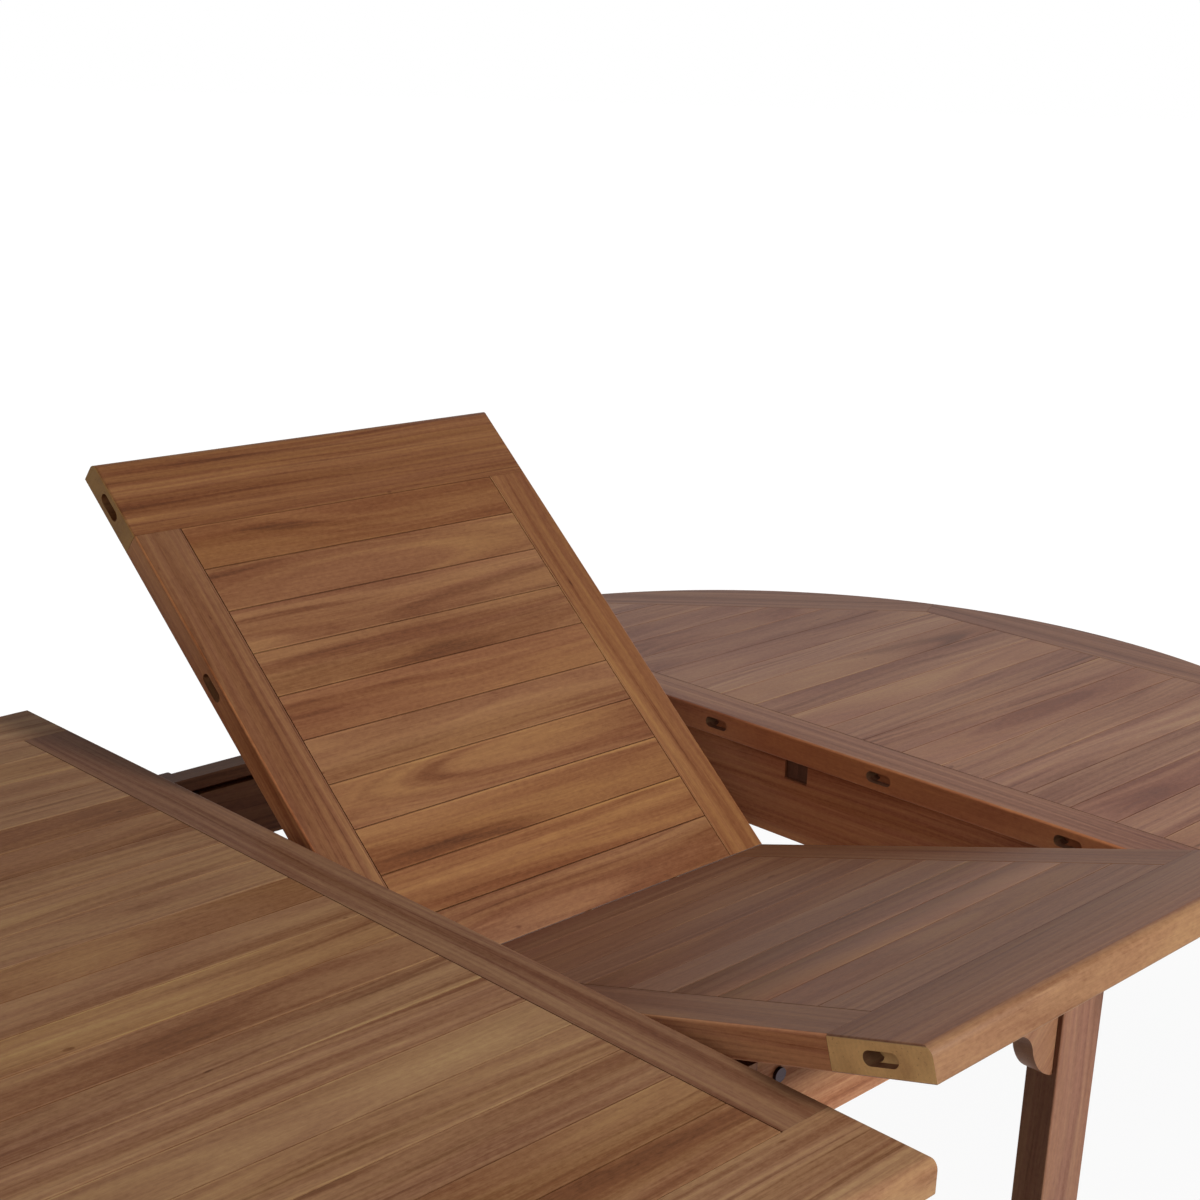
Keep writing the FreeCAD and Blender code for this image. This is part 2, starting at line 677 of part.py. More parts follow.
def frame_pieces():
    pieces = {}
    bolt_holes = []
    bolts = []
    inserts = []
    for x, z in leg_bolt_places():
        seat = point(x, apron_inner_y, z)
        tip = point(x, cheek_y + insert_length, z)
        head = rod(bolt_head_radius, seat, point(x, apron_inner_y - bolt_head_height, z))
        bolts.append(rod(bolt_radius, seat, tip).fuse(head).removeSplitter())
        inserts.append(rod(insert_radius, point(x, cheek_y, z), tip).cut(rod(bolt_radius, seat, tip)))
        bolt_holes.append(rod(bolt_radius, seat, tip))
        bolt_holes.append(rod(insert_radius, point(x, cheek_y, z), tip))

    # Right far leg, its upper end a cheek let into the outside of the apron; the rest are mirror images
    leg = block(leg_inner_x, leg_outer_x, leg_outer_y - leg_depth, leg_outer_y, glide_height, apron_top)
    lap = block(leg_inner_x - overrun, leg_outer_x + overrun, leg_outer_y - leg_depth - overrun, cheek_y,
                apron_bottom, apron_top + overrun)
    leg_arrises = []
    up = point(0, 0, apron_top)
    for x, dx in ((leg_inner_x, 1), (leg_outer_x, -1)):
        for y, dy in ((leg_outer_y, -1), (leg_outer_y - leg_depth, 1)):
            leg_arrises.append(arris(point(x, y, 0), (dx, 0, 0), (0, dy, 0), up, leg_arris))
    foot_x = (leg_inner_x + leg_outer_x) / 2.0
    foot_y = leg_outer_y - leg_depth / 2.0
    stem = rod(glide_stem_radius, point(foot_x, foot_y, 0), point(foot_x, foot_y, glide_height + glide_stem_length))
    glide = rod(glide_radius, point(foot_x, foot_y, 0), point(foot_x, foot_y, glide_height)).fuse(stem)
    glide = glide.removeSplitter()
    leg = leg.cut([lap, stem] + bolt_holes + leg_arrises)
    housing = block(leg_inner_x, leg_outer_x, cheek_y, apron_outer_y + overrun, apron_bottom - overrun,
                    apron_top + overrun)

    # Corner bracket between the leg and the underside of the side apron
    bracket_y = apron_outer_y - bracket_thickness
    toe_z = apron_bottom - bracket_height
    nose_x = leg_inner_x - bracket_length
    belly = [point(leg_inner_x - a * bracket_length, bracket_y, apron_bottom - b * bracket_height)
             for a, b in belly_shares]
    cove = [point(leg_inner_x - a * bracket_length, bracket_y, apron_bottom - b * bracket_height)
            for a, b in cove_shares]
    nose = point(nose_x, bracket_y, apron_bottom - nose_share * bracket_height)
    nose_top = point(nose_x, bracket_y, apron_bottom)
    heel_top = point(leg_inner_x, bracket_y, apron_bottom)
    heel = point(leg_inner_x, bracket_y, toe_z)
    edges = [Part.LineSegment(heel_top, heel).toShape(), Part.LineSegment(heel, belly[0]).toShape()]
    edges += [Part.Arc(*belly).toShape(), Part.Arc(*cove).toShape()]
    edges += [Part.LineSegment(cove[2], nose).toShape(), Part.LineSegment(nose, nose_top).toShape()]
    edges.append(Part.LineSegment(nose_top, heel_top).toShape())
    bracket = Part.Face(Part.Wire(edges)).extrude(point(0, bracket_thickness, 0))
    # One screw slants from the bracket's back into the leg, and one goes up from its nose
    slant = math.radians(bracket_screw_slant)
    screw_run = bracket_screw_reach + screw_bite
    screw_step = point(screw_run * math.cos(slant), screw_run * math.sin(slant), 0)
    seat = point(leg_inner_x - bracket_screw_reach, bracket_y + bracket_screw_depth,
                 apron_bottom - bracket_screw_drop)
    tip = seat.add(screw_step)
    counterbore = rod(screw_head_radius, seat, seat.sub(screw_step))
    nose_y = bracket_y + bracket_thickness / 2.0
    up_seat = point(nose_x + nose_screw_inset, nose_y, apron_bottom - nose_screw_drop)
    up_tip = point(up_seat.x, nose_y, apron_bottom + screw_bite)
    up_bore = rod(screw_head_radius, up_seat, point(up_seat.x, nose_y, toe_z))
    bracket = bracket.cut([counterbore, up_bore, screw_hole(seat, tip), screw_hole(up_seat, up_tip)])
    leg = leg.cut(screw_hole(seat, tip))

    # Side apron, running on past the legs under the half tops, with the guide groove inside
    far_apron = block(-frame_reach, frame_reach, apron_inner_y, apron_outer_y, apron_bottom, apron_top)
    groove = block(-groove_reach_x, groove_reach_x, apron_inner_y - overrun, apron_inner_y + groove_depth,
                   groove_middle - groove_height / 2.0, groove_middle + groove_height / 2.0)
    housings = [housing, mirrored(housing, True, False)]
    far_apron = far_apron.cut([groove] + housings)

    # End apron, notched for the runners, with a stub tenon at each end below the guide groove
    tenon_low = apron_bottom + end_tenon_shoulder
    tenon_high = groove_middle - end_tenon_shoulder
    end_apron = block(end_inner_x, end_outer_x, -apron_inner_y, apron_inner_y,
                      apron_top - end_apron_height, apron_top)
    for s in (-1, 1):
        end_apron = end_apron.fuse(block(end_inner_x, end_outer_x, s * (apron_inner_y - overrun),
                                         s * (apron_inner_y + end_tenon_length), tenon_low, tenon_high))
    notches = []
    for name, y0, y1, start, height in runner_list():
        low = y0 - notch_clearance if y0 > -side_runner_outer else -apron_inner_y
        high = y1 + notch_clearance if y1 < side_runner_outer else apron_inner_y
        notches.append(block(end_inner_x - overrun, end_outer_x + overrun, low, high,
                             top_under - height - notch_clearance, apron_top + overrun))
    end_apron = end_apron.cut(notches).removeSplitter()

    corners = (("left_near", True, True), ("left_far", True, False),
               ("right_near", False, True), ("right_far", False, False))
    hole_cuts = []
    for name in ("leg_brackets", "leg_glides", "leg_bolts", "leg_inserts", "bracket_screws"):
        pieces[name] = []
    for name, across_x, across_y in corners:
        pieces[name + "_leg"] = [mirrored(leg, across_x, across_y)]
        pieces["leg_brackets"].append(mirrored(bracket, across_x, across_y))
        pieces["leg_glides"].append(mirrored(glide, across_x, across_y))
        pieces["leg_bolts"] += [mirrored(b, across_x, across_y) for b in bolts]
        pieces["leg_inserts"] += [mirrored(b, across_x, across_y) for b in inserts]
        for a, b in ((seat, tip), (up_seat, up_tip)):
            pieces["bracket_screws"].append(mirrored(screw(a, b), across_x, across_y))
            hole_cuts.append(mirrored(screw_hole(a, b), across_x, across_y))
        hole_cuts += [mirrored(h, across_x, across_y) for h in bolt_holes]

    # Pivot brackets on the inside of the near apron, each with a pin and a bolt
    plates = []
    pins = []
    pivot_bolts = []
    pivot_holes = []
    near_face = -apron_inner_y
    plate_face = near_face + plate_thickness
    for side in (-1, 1):
        edge = side * (leaf_batten_place + leaf_batten_width / 2.0 + lug_gap)
        lug_end = edge + side * plate_thickness
        plate_end = edge + side * plate_length
        plate_top = table_height - plate_top_depth
        plate = block(edge, plate_end, near_face, plate_face, plate_top - plate_height, plate_top)
        lug = block(edge, lug_end, near_face, pivot_y, pivot_z - lug_radius, pivot_z + lug_radius)
        lug_nose = rod(lug_radius, point(edge, pivot_y, pivot_z), point(lug_end, pivot_y, pivot_z))
        pin_start = point(edge - side * (lug_gap + leaf_batten_width), pivot_y, pivot_z)
        pin_end = point(lug_end, pivot_y, pivot_z)
        pin_head = rod(pin_head_radius, pin_end, point(lug_end + side * pin_head_thickness, pivot_y, pivot_z))
        pin = rod(pin_radius, pin_start, pin_end).fuse(pin_head).removeSplitter()
        bolt_x = edge + side * (plate_length - pivot_bolt_inset)
        bolt_z = table_height - pivot_bolt_depth
        outside = point(bolt_x, -apron_outer_y, bolt_z)
        inside = point(bolt_x, plate_face, bolt_z)
        hole = rod(small_bolt_radius, outside, inside)
        shank_end = point(bolt_x, plate_face + small_nut_height, bolt_z)
        head_end = point(bolt_x, -apron_outer_y - small_head_height, bolt_z)
        bolt = rod(small_bolt_radius, outside, shank_end).fuse(rod(small_head_radius, head_end, outside))
        nut = rod(small_nut_radius, inside, shank_end).cut(rod(small_bolt_radius, inside, shank_end))
        plates.append(fuse([plate, lug, lug_nose]).removeSplitter().cut([hole, rod(pin_radius, pin_start, pin_end)]))
        pins.append(pin)
        pivot_bolts += [bolt.removeSplitter(), nut]
        pivot_holes.append(hole)
    pieces["pivot_brackets"] = plates
    pieces["pivot_pins"] = pins
    pieces["pivot_bolts"] = pivot_bolts

    right_end = end_apron
    left_end = mirrored(end_apron, True, False)
    side_mortises = [right_end, left_end]
    pieces["far_side_apron"] = [far_apron.cut(side_mortises + hole_cuts)]
    near_apron = mirrored(far_apron, False, True)
    pieces["near_side_apron"] = [near_apron.cut(side_mortises + hole_cuts + pivot_holes)]
    pieces["right_end_apron"] = [right_end]
    pieces["left_end_apron"] = [left_end]
    return pieces


def export(name, solids):
    shapes = []
    for solid in solids:
        for piece in solid.Solids:
            piece.translate(point(origin_shift, 0, 0))
            shapes.append(piece)
    shape = shapes[0] if len(shapes) == 1 else Part.makeCompound(shapes)
    if not shape.isValid():
        print("not valid:", name)
    shape.exportStep("parts/" + name + ".step")
    print(name, len(shapes), round(shape.Volume))


def main():
    os.makedirs("parts", exist_ok=True)
    left, right = place_half_tops()
    near, far, links = place_leaf()
    for name, solids in frame_pieces().items():
        export(name, solids)
    groups = (("left_top_", left), ("right_top_", right), ("near_leaf_", near), ("far_leaf_", far), ("", links))
    for prefix, pieces in groups:
        for name, solids in pieces.items():
            export(prefix + name, solids)


main()
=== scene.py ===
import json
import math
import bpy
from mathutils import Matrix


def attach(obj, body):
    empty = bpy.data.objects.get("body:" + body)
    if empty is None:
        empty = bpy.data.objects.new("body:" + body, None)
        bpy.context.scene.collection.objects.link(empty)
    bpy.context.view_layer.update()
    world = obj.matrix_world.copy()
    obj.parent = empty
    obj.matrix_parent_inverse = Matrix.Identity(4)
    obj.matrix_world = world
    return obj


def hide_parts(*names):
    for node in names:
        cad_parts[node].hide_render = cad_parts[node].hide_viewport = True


bl_info = {
    "name": "Extending round table",
    "version": (1, 0, 0),
    "blender": (4, 5, 0),
    "location": "3D View > Sidebar > Table",
    "description": "Dresses the timber and hardware of a round table that stands half open",
    "category": "Object",
}

import bmesh
import bpy
import numpy as np
from mathutils import Matrix, Vector

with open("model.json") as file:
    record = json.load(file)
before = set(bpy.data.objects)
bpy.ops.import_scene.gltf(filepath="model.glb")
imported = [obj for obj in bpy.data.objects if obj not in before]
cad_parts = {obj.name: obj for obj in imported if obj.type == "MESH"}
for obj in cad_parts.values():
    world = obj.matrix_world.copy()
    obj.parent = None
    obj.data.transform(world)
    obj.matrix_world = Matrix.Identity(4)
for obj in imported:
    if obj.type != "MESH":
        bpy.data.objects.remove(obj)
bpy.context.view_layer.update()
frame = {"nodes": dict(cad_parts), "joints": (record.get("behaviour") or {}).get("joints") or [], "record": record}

# What the frame says about the leaf
JOINTS = {joint["name"]: joint for joint in frame["joints"]}
LEAF_TILT = -JOINTS["leaf_pivot"]["range_deg"][0]
LEAF_FOLD = -JOINTS["leaf_fold"]["range_deg"][0]
HINGE = Vector(JOINTS["leaf_fold"]["pos_m"])

# Camera: the photograph is a crop, so its optical centre is low and to the right
PHOTO_SIZE_PX = 1200.0
FOCAL_PX = 1906.217
CENTRE_X_PX = 624.231
CENTRE_Y_PX = 787.564
CAMERA_PLACE = (-1.192958, -1.206425, 1.417449)
CAMERA_AZIMUTH = 0.7904
CAMERA_PITCH = 0.3672
CAMERA_ROLL = -0.0284
SENSOR_MM = 36.0

# Shares of a timber's own colour, from knots to the palest sapwood, of darker sawn ends, partly their own tone and
# partly painted shade for ends deep in notches, and of bare sawn ends
DEEP_SHARES = (0.34, 0.28, 0.26)
DARK_SHARES = (0.70, 0.61, 0.58)
LIGHT_SHARES = (1.28, 1.37, 1.32)
PALE_SHARES = (1.62, 1.95, 1.75)
DARK_SHADED_END_SHARES = ((0.45, 0.40, 0.36), (0.85, 0.80, 0.75))
BARE_END_SHARES = ((1.00, 1.20, 1.05), (1.65, 2.25, 1.95))
# Shares of a panel's colour: the inner rails, the rims and the stiles
RAIL_SHARES = {"left_top": (0.70, 0.66, 0.74), "right_top": (0.88, 0.82, 0.79)}
RIM_SHARES = {"left_top": (1.03, 1.06, 1.08), "right_top": (0.76, 0.69, 0.67),
              "near_leaf": (1.03, 1.00, 1.02), "far_leaf": (0.86, 0.79, 0.64)}
STILE_SHARES = {"near_leaf": (0.84, 0.79, 0.76), "far_leaf": (0.89, 0.85, 0.83)}
# Shares for the sides of boards, the faces that look across the grain: painted light, brighter where light falls
# on the leaf's ends and outer edge and on the right half top's inner edge
PLAIN_SHARES = (1.0, 1.0, 1.0)
SIDE_LIGHT_SHARES = {"right_top_inner_rail": (1.50, 1.15, 0.80), "near_leaf_rim": (1.20, 1.40, 1.24),
               "near_leaf_stiles": (2.55, 2.45, 2.25), "far_leaf_stiles": (1.75, 1.58, 1.42)}
# Painted light on the legs' front and back faces, brighter where the main light falls on their fronts
LEG_SIDE_LIGHT_SHARES = (1.62, 1.74, 1.95)
# Shares of the underframe's colour
# Legs darker than the rest of the frame: partly their own tone, partly painted shade on their shaded inner faces
LEG_TONE_AND_SHADE_SHARES = (0.65, 0.65, 0.72)
# Painted light and shade in the side aprons: the near apron paler where light falls on its outer face, the far
# apron darker in the shade under the tops
APRON_LIGHT_SHADE_SHARES = {"near_side_apron": (1.85, 2.20, 2.40), "far_side_apron": (0.50, 0.46, 0.44),
                "left_end_apron": (1.38, 1.25, 1.20), "right_end_apron": (1.38, 1.25, 1.20)}
BRACKET_SHARES = (1.20, 1.42, 1.65)
RUNNER_SHARES = (0.60, 0.55, 0.52)
# How much stronger than usual the grain of a panel is
CONTRAST = {"left_top": 1.35, "right_top": 1.5, "near_leaf": 1.2, "far_leaf": 1.5}
# Share of light that a panel's oiled faces mirror
GLOSS = {"left_top": 0.03, "right_top": 0.16, "near_leaf": 0.14, "far_leaf": 0.12}
# Painted light on the bare sawn ends of a leaf panel's rim, brighter where light from the side falls on them, and
# the most that it may come to
END_LIGHT_GAIN = {"near_leaf": (2.35, 2.45, 2.05), "far_leaf": (1.3, 1.3, 1.2)}
END_LIGHT_LIMIT = 8.0

# The top faces lie at this height, where the patterns of the half tops have their origin
TOP_ORIGIN = (0.0, 0.0, 0.75)

# Seeds that pick the place of every board in its tree
SLAT_SEED = {"left_top": 48.0, "right_top": -11.0, "near_leaf": 101.0, "far_leaf": 202.0}
TOP_RIM_SEED = 31.0
TOP_BATTEN_SEED = 5.0
RUNNER_SEED = 7.0
LEAF_RIM_STEP = 50.0
LEAF_STILE_STEP = 60.0
LEAF_BATTEN_STEP = 70.0
SIDE_APRON_SEED = 300.0
END_APRON_SEED = 310.0
LEG_SEED = 320.0
BRACKET_SEED = 330.0
KEY_SEED = 400.0

# Distances in Y, once turned, that tell the boards of one node apart
TOP_BATTEN_PITCH = 0.07
RUNNER_PITCH = 0.2
STILE_PITCH = 0.2
LEAF_BATTEN_PITCH = 0.1
BRACKET_PITCH = 0.3
KEY_PITCH = 0.1

# Noise in the timber: features per metre along the board, across it and through it
WANDER_SCALE = (1.1, 5.0, 5.0)
SLOW_SCALE = (2.2, 12.0, 12.0)
FINE_SCALE = (14.0, 480.0, 480.0)
GRIT_SCALE = (150.0, 300.0, 300.0)
PORE_SCALE = (90.0, 1100.0, 1100.0)
KNOT_SCALE = (34.0, 85.0, 85.0)
FLECK_SCALE = (9.0, 110.0, 110.0)
END_SPECK_SCALE = (250.0, 420.0, 420.0)
END_ZONE_SCALE = (4.0, 26.0, 26.0)
END_PIT_SCALE = (60.0, 420.0, 420.0)
# Values of that noise at which a mark starts and at which it is full
STREAK_RANGE = (0.34, 0.66)
DARK_RANGE = (0.56, 0.76)
PORE_RANGE = (0.58, 0.72)
KNOT_RANGE = (0.77, 0.83)
FLECK_RANGE = (0.64, 0.76)
PIT_RANGE = (0.66, 0.76)
# How far apart, in metres, the boards' own patterns may be taken from
LOT_SPREAD = (7.0, 5.0, 3.0)
FIBRE_SPREAD = 9.0
# Shares of the heart distance: its depth, its spread in depth, and its wander in Y and Z
HEART_DEPTH = 0.6
HEART_DEPTH_SPREAD = 0.7
HEART_WANDER = (0.45, 0.50)
# Tone of plain wood, between 0 for knots and 1 for sapwood, and how far each pattern moves it
PLAIN_TONE = 0.54
PATTERN_WEIGHTS = {"band": 0.66, "streak": -0.15, "slow": 0.34, "fine": 0.40, "grit": 0.40}
MARK_WEIGHTS = {"dark": -0.36, "pores": -0.07, "knots": -0.28, "flecks": 0.13}
# Distances from the middle of a slat's joint where its painted highlight, on the rounded edge that catches the
# light, and its shadow start and are full
LIT_EDGE_START, LIT_EDGE_FULL = 0.0030, 0.0012
JOINT_START, JOINT_FULL = 0.00075, 0.00055
JOINT_WEIGHT = -0.25
# Cosines between a face and the board's X or Y at which it starts to count as an end or a side
END_FACING = (0.72, 0.94)
SIDE_FACING = (0.15, 0.60)

# Merging and softening of the copied boards
MERGE_DISTANCE = 0.000002
FLAT_ANGLE = math.radians(0.5)
SHARP_ANGLE = math.radians(40.0)
EDGE_SEGMENTS = 2

# Stage
LIGHT_TARGET = (0.0, 0.0, 0.7)
FLOOR_SIDES = 96
FLOOR_FADE_START, FLOOR_FADE_END = 1.1, 3.2
FLOOR_WHITE = 1.04
VIEW_DISTANCE = 200.0


# The panels are one teak: their colours differ partly at random and partly as painted light and shade, the near
# leaf darker as it tilts away from the light
class TimberColours(bpy.types.PropertyGroup):
    left_top: bpy.props.FloatVectorProperty(
        name="Left half top", description="Colour of the half top beside the camera",
        subtype="COLOR", size=3, min=0.0, max=1.0, default=(0.278, 0.139, 0.071))
    right_top: bpy.props.FloatVectorProperty(
        name="Right half top", description="Colour of the half top beyond the leaf",
        subtype="COLOR", size=3, min=0.0, max=1.0, default=(0.240, 0.110, 0.068))
    near_leaf: bpy.props.FloatVectorProperty(
        name="Near leaf panel", description="Colour of the panel hung in the frame",
        subtype="COLOR", size=3, min=0.0, max=1.0, default=(0.207, 0.094, 0.054))
    far_leaf: bpy.props.FloatVectorProperty(
        name="Far leaf panel", description="Colour of the panel that stands up",
        subtype="COLOR", size=3, min=0.0, max=1.0, default=(0.225, 0.097, 0.044))
    underframe: bpy.props.FloatVectorProperty(
        name="Underframe", description="Colour of legs, aprons and brackets",
        subtype="COLOR", size=3, min=0.0, max=1.0, default=(0.210, 0.086, 0.043))
    hardwood: bpy.props.FloatVectorProperty(
        name="Keys and guides", description="Colour of the small hardwood pieces",
        subtype="COLOR", size=3, min=0.0, max=1.0, default=(0.260, 0.150, 0.075))


class TimberGrain(bpy.types.PropertyGroup):
    ring_width: bpy.props.FloatProperty(
        name="Ring width", description="Distance between growth rings on sawn ends",
        unit="LENGTH", min=0.0005, max=0.05, default=0.0045)
    heart_distance: bpy.props.FloatProperty(
        name="Heart distance", description="How far the heart of the tree lies from a board",
        unit="LENGTH", min=0.0, max=1.0, default=0.11)
    band_width: bpy.props.FloatProperty(
        name="Band width", description="Width of the broad light and dark bands across the rings",
        unit="LENGTH", min=0.002, max=0.2, default=0.017)
    streak_width: bpy.props.FloatProperty(
        name="Streak width", description="Width of the narrow dark streaks across the rings",
        unit="LENGTH", min=0.0005, max=0.05, default=0.0048)
    streak_strength: bpy.props.FloatProperty(
        name="Streaks", description="How dark the narrow streaks are",
        subtype="FACTOR", min=0.0, max=1.0, default=0.5)
    board_variation: bpy.props.FloatProperty(
        name="Board to board", description="How much one board differs from the next",
        subtype="FACTOR", min=0.0, max=1.0, default=0.08)
    # Painted highlight: how much paler the slats' long edges are where their rounded edges catch the light
    edge_light: bpy.props.FloatProperty(
        name="Edge highlight", description="How much paler the long edges of the slats are",
        subtype="FACTOR", min=0.0, max=1.0, default=0.22)
    roughness: bpy.props.FloatProperty(
        name="Roughness", description="Roughness of the oiled surface",
        subtype="FACTOR", min=0.0, max=1.0, default=0.52)


class BoardEdges(bpy.types.PropertyGroup):
    slat_edge: bpy.props.FloatProperty(
        name="Slat edges", description="Width of the softened edge of a slat",
        unit="LENGTH", min=0.0, max=0.003, default=0.0002)
    board_edge: bpy.props.FloatProperty(
        name="Board edges", description="Width of the softened edge of a rim board, rail or stile",
        unit="LENGTH", min=0.0, max=0.003, default=0.0005)
    frame_edge: bpy.props.FloatProperty(
        name="Frame edges", description="Width of the softened edge of an apron, leg or bracket",
        unit="LENGTH", min=0.0, max=0.005, default=0.0015)
    top_pitch: bpy.props.FloatProperty(
        name="Top slat pitch", description="Distance from slat to slat in a half top",
        unit="LENGTH", min=0.01, max=0.2, default=0.0509)
    leaf_pitch: bpy.props.FloatProperty(
        name="Leaf slat pitch", description="Distance from slat to slat in the leaf",
        unit="LENGTH", min=0.01, max=0.2, default=0.0507)


class HardwareColours(bpy.types.PropertyGroup):
    # The steel is dark purple-grey: partly its own finish, partly painted shade of the pivot bolts in the leaf's
    # shadow
    steel: bpy.props.FloatVectorProperty(
        name="Steel", description="Colour of bolts, screws and pivot brackets",
        subtype="COLOR", size=3, min=0.0, max=1.0, default=(0.055, 0.038, 0.044))
    brass: bpy.props.FloatVectorProperty(
        name="Brass", description="Colour of the hinges and bushes",
        subtype="COLOR", size=3, min=0.0, max=1.0, default=(0.62, 0.45, 0.19))
    glide: bpy.props.FloatVectorProperty(
        name="Glides", description="Colour of the glides under the legs",
        subtype="COLOR", size=3, min=0.0, max=1.0, default=(0.02, 0.02, 0.02))


class StageSettings(bpy.types.PropertyGroup):
    floor_colour: bpy.props.FloatVectorProperty(
        name="Floor", description="Colour of the floor",
        subtype="COLOR", size=3, min=0.0, max=1.0, default=(0.75, 0.75, 0.75))
    floor_radius: bpy.props.FloatProperty(
        name="Floor radius", description="How far the floor reaches",
        unit="LENGTH", min=1.0, max=200.0, default=60.0)
    shadow_share: bpy.props.FloatProperty(
        name="Floor shadow",
        description="How much of the floor's own shading the camera sees near the table",
        subtype="FACTOR", min=0.0, max=1.0, default=0.15)
    world_level: bpy.props.FloatProperty(
        name="Surroundings", description="Brightness of the light from all round",
        min=0.0, max=4.0, default=0.15)
    lamp_place: bpy.props.FloatVectorProperty(
        name="Main light place", description="Middle of the large soft light",
        subtype="TRANSLATION", unit="LENGTH", size=3, default=(0.5, -3.2, 2.5))
    lamp_power: bpy.props.FloatProperty(
        name="Main light", description="Power of the large soft light",
        unit="POWER", min=0.0, max=5000.0, default=122.0)
    lamp_size: bpy.props.FloatProperty(
        name="Main light size", description="Side of the large soft light",
        unit="LENGTH", min=0.1, max=20.0, default=0.45)
    fill_size: bpy.props.FloatProperty(
        name="Second light size", description="Side of the weaker light",
        unit="LENGTH", min=0.1, max=20.0, default=2.4)
    back_place: bpy.props.FloatVectorProperty(
        name="Back light place", description="Middle of the low light behind the table",
        subtype="TRANSLATION", unit="LENGTH", size=3, default=(0.4, 3.4, 0.75))
    back_power: bpy.props.FloatProperty(
        name="Back light", description="Power of the low light behind the table",
        unit="POWER", min=0.0, max=5000.0, default=34.0)
    back_size: bpy.props.FloatProperty(
        name="Back light size", description="Side of the low light behind the table",
        unit="LENGTH", min=0.1, max=20.0, default=1.2)
    fill_place: bpy.props.FloatVectorProperty(
        name="Second light place", description="Middle of the weaker light beside the left half top",
        subtype="TRANSLATION", unit="LENGTH", size=3, default=(-2.8, -1.3, 2.4))
    fill_power: bpy.props.FloatProperty(
        name="Second light", description="Power of the weaker light",
        unit="POWER", min=0.0, max=5000.0, default=20.0)


def scaled(colour, shares, most=1.0):
    return tuple(min(most, c * s) for c, s in zip(colour, shares)) + (1.0,)


def join(tree, kind, inputs=None, **settings):
    """Adds one shader node, sets it up, and links or sets its inputs."""
    node = tree.nodes.new(kind)
    for key, value in settings.items():
        setattr(node, key, value)
    for key, value in (inputs or {}).items():
        if isinstance(value, bpy.types.NodeSocket):
            tree.links.new(value, node.inputs[key])
        else:
            node.inputs[key].default_value = value
    return node


def sums(tree, operation, first, second=0.0, third=None):
    """One Math node; each term is a number or a socket."""
    inputs = {0: first, 1: second}
    if third is not None:
        inputs[2] = third
    return join(tree, "ShaderNodeMath", inputs, operation=operation).outputs[0]


def swayed(tree, level, shares):
    """level plus weight * (value - 1/2), summed over the value and weight pairs in shares."""
    total = sums(tree, "SUBTRACT", level, 0.5 * sum(weight for value, weight in shares))
    for value, weight in shares:
        total = sums(tree, "MULTIPLY_ADD", value, weight, total)
    return total


def stretched(tree, vector, scale):
    """A vector with each of its parts multiplied by its own number."""
    return join(tree, "ShaderNodeVectorMath", {0: vector, 1: scale}, operation="MULTIPLY").outputs[0]


def noise(tree, vector, scale, detail=3.0, roughness=0.55):
    """Noise of about one feature per 1/scale metres along each of the three directions."""
    return join(tree, "ShaderNodeTexNoise",
                {"Vector": stretched(tree, vector, scale), "Scale": 1.0, "Detail": detail,
                 "Roughness": roughness})


def remap(tree, value, low, high, new_low=0.0, new_high=1.0):
    return join(tree, "ShaderNodeMapRange",
                {"Value": value, "From Min": low, "From Max": high,
                 "To Min": new_low, "To Max": new_high},
                interpolation_type="SMOOTHSTEP").outputs[0]


def ramp(tree, value, stops):
    """A colour ramp through the position and colour pairs in stops."""
    node = join(tree, "ShaderNodeValToRGB", {"Fac": value})
    places = node.color_ramp.elements
    places[0].position, places[0].color = stops[0]
    places[1].position, places[1].color = stops[-1]
    for position, colour in stops[1:-1]:
        places.new(position).color = colour
    return node.outputs["Color"]


def new_material(name):
    material = bpy.data.materials.new(name)
    material.use_nodes = True
    material.node_tree.nodes.clear()
    return material, material.node_tree


def faces_along(tree, place, turned, direction, low, high):
    """1 on faces that look along a direction of the board, either way, and 0 on the others."""
    way = turned.inverted() @ Vector(direction)
    facing = join(tree, "ShaderNodeVectorMath", {0: place.outputs["Normal"], 1: way},
                  operation="DOT_PRODUCT").outputs["Value"]
    return remap(tree, sums(tree, "ABSOLUTE", facing), low, high)


